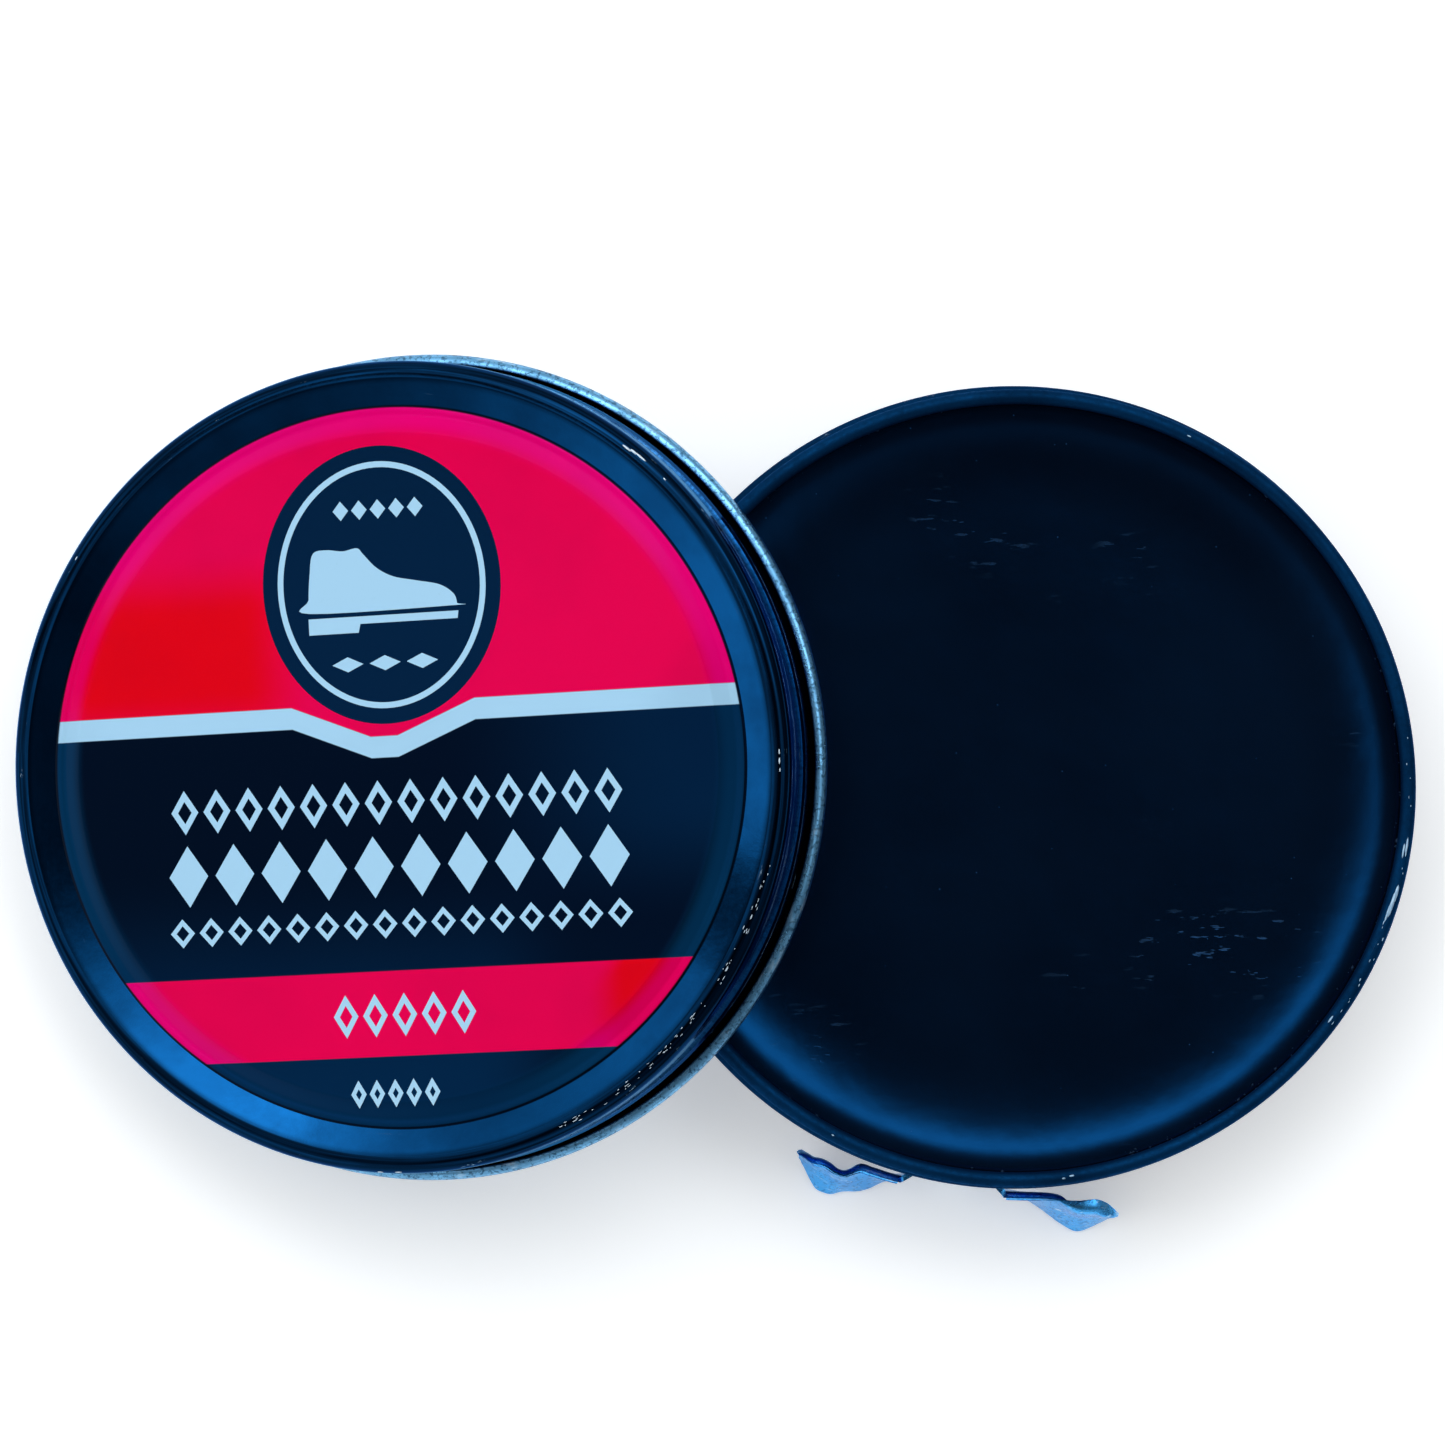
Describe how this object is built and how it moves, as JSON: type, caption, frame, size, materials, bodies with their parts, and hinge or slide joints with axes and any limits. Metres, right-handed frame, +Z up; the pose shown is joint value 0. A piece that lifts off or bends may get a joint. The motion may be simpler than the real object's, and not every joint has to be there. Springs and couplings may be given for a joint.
{
  "type": "shoe polish tin",
  "caption": "Round tin of wax shoe polish, opened: base tin full of black polish, butterfly key on its wall, and its slip lid leaning face up on the rim.",
  "frame": {"origin": "middle of the base tin's underside, on the surface that it stands on", "axes": "+X from the leaning lid towards and past the base tin, along the row's longest side; +Z up; the key is on the base tin's -Y side"},
  "size_m": [0.1313, 0.0824, 0.0293],
  "materials": {
    "lacquered_tinplate": "glossy navy-black lacquer on tinplate",
    "lid_tinplate": "glossy navy-black lacquer, worn to bare metal on the curl",
    "black_wax_polish": null,
    "bare_steel": "bright stamped steel",
    "rivet_steel": "plain steel rivet",
    "lid_sticker": "gloss laminated paper sticker, crimson and navy with a pale stripe",
    "base_sticker": "plain white paper sticker"
  },
  "bodies": {
    "tin": {"base_tin": "lacquered_tinplate", "polish": "black_wax_polish", "base_label": "base_sticker", "key_rivet": "rivet_steel"},
    "key": {"wing_key": "bare_steel"},
    "lid": {"lid_shell": "lid_tinplate", "lid_label": "lid_sticker"}
  },
  "joints": [
    {"name": "key_turn", "type": "hinge", "parent": "tin", "child": "key", "pos_m": [-0.00528, -0.03622, 0.0034], "axis": [-0.1444, -0.9895, 0], "range_deg": [-90, 90]},
    {"name": "lid_lift", "type": "slide", "parent": "tin", "child": "lid", "axis": [0, 0, 1], "range_m": [0, 0.06]}
  ]
}
